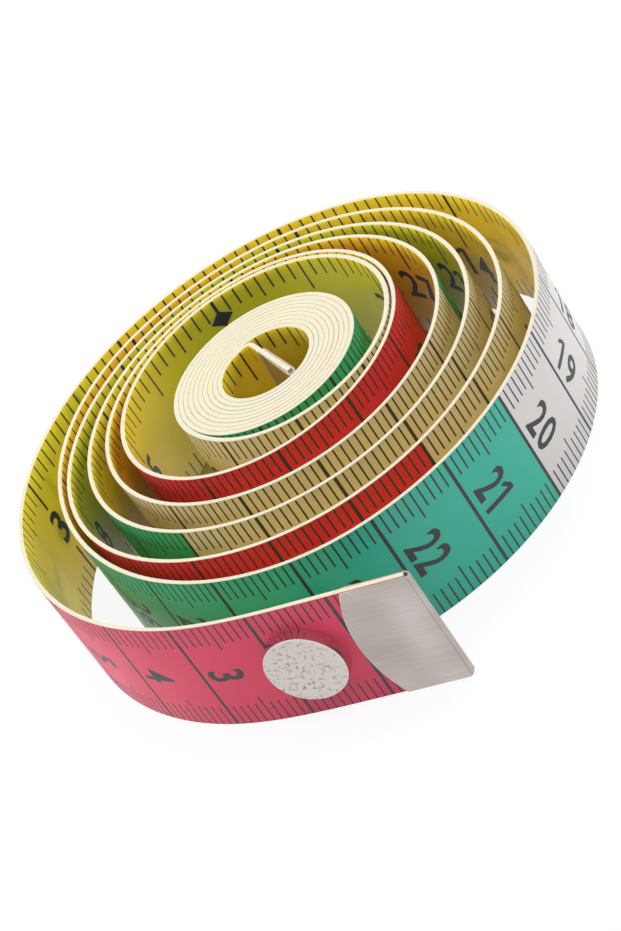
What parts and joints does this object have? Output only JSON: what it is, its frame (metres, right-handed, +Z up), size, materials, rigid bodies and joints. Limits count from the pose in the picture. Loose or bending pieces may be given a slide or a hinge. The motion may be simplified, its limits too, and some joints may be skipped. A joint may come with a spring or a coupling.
{
  "type": "cloth tape measure",
  "caption": "Printed cloth tape measure rolled into a loose coil on its edge, with folded metal end ferrules and a snap fastener near the free end.",
  "frame": {"origin": "on the standing surface, under the middle of the coil's bounding box", "axes": "+Z up along the tape's width, -Y to the front where the free end and its ferrule lie, +X to the right"},
  "size_m": [0.0694, 0.0808, 0.016],
  "materials": {
    "tape_yellow": "coated fibreglass cloth, satin",
    "tape_red": "coated fibreglass cloth, satin",
    "tape_white": "coated fibreglass cloth, satin",
    "ferrule_steel": "nickel-plated sheet, brushed",
    "snap_nickel": "nickel-plated, satin",
    "spring_wire": "bright drawn wire"
  },
  "bodies": {
    "coil": {"tape_coil": "tape_yellow", "inner_ferrule": "ferrule_steel"},
    "stretch_1": {"tape_stretch_1": "tape_white"},
    "stretch_2": {"tape_stretch_2": "tape_white"},
    "stretch_3": {"tape_stretch_3": "tape_white", "snap_stud": "snap_nickel", "snap_post": "snap_nickel"},
    "stretch_4": {"tape_stretch_4": "tape_red"},
    "stretch_5": {"tape_stretch_5": "tape_red"},
    "end": {"tape_end": "tape_red", "outer_ferrule": "ferrule_steel", "snap_cap": "snap_nickel", "snap_socket": "snap_nickel", "snap_spring": "spring_wire"}
  },
  "joints": [
    {"name": "unroll_1", "type": "hinge", "parent": "coil", "child": "stretch_1", "pos_m": [0.02209, -0.02135, 0.008], "axis": [0, 0, -1], "range_deg": [0, 50]},
    {"name": "unroll_2", "type": "hinge", "parent": "stretch_1", "child": "stretch_2", "pos_m": [0.03462, 0.00476, 0.008], "axis": [0, 0, -1], "range_deg": [0, 50]},
    {"name": "unroll_3", "type": "hinge", "parent": "stretch_2", "child": "stretch_3", "pos_m": [0.02177, 0.03076, 0.008], "axis": [0, 0, -1], "range_deg": [0, 50]},
    {"name": "unroll_4", "type": "hinge", "parent": "stretch_3", "child": "stretch_4", "pos_m": [-0.00654, 0.03727, 0.008], "axis": [0, 0, -1], "range_deg": [0, 50]},
    {"name": "unroll_5", "type": "hinge", "parent": "stretch_4", "child": "stretch_5", "pos_m": [-0.02999, 0.02003, 0.008], "axis": [0, 0, -1], "range_deg": [0, 50]},
    {"name": "unroll_6", "type": "hinge", "parent": "stretch_5", "child": "end", "pos_m": [-0.03283, -0.00898, 0.008], "axis": [0, 0, -1], "range_deg": [0, 60]}
  ],
  "couplings": [
    {"joint": "unroll_2", "follows": "unroll_1", "ratio": 1},
    {"joint": "unroll_3", "follows": "unroll_1", "ratio": 1},
    {"joint": "unroll_4", "follows": "unroll_1", "ratio": 1},
    {"joint": "unroll_5", "follows": "unroll_1", "ratio": 1},
    {"joint": "unroll_6", "follows": "unroll_1", "ratio": 1.2}
  ]
}
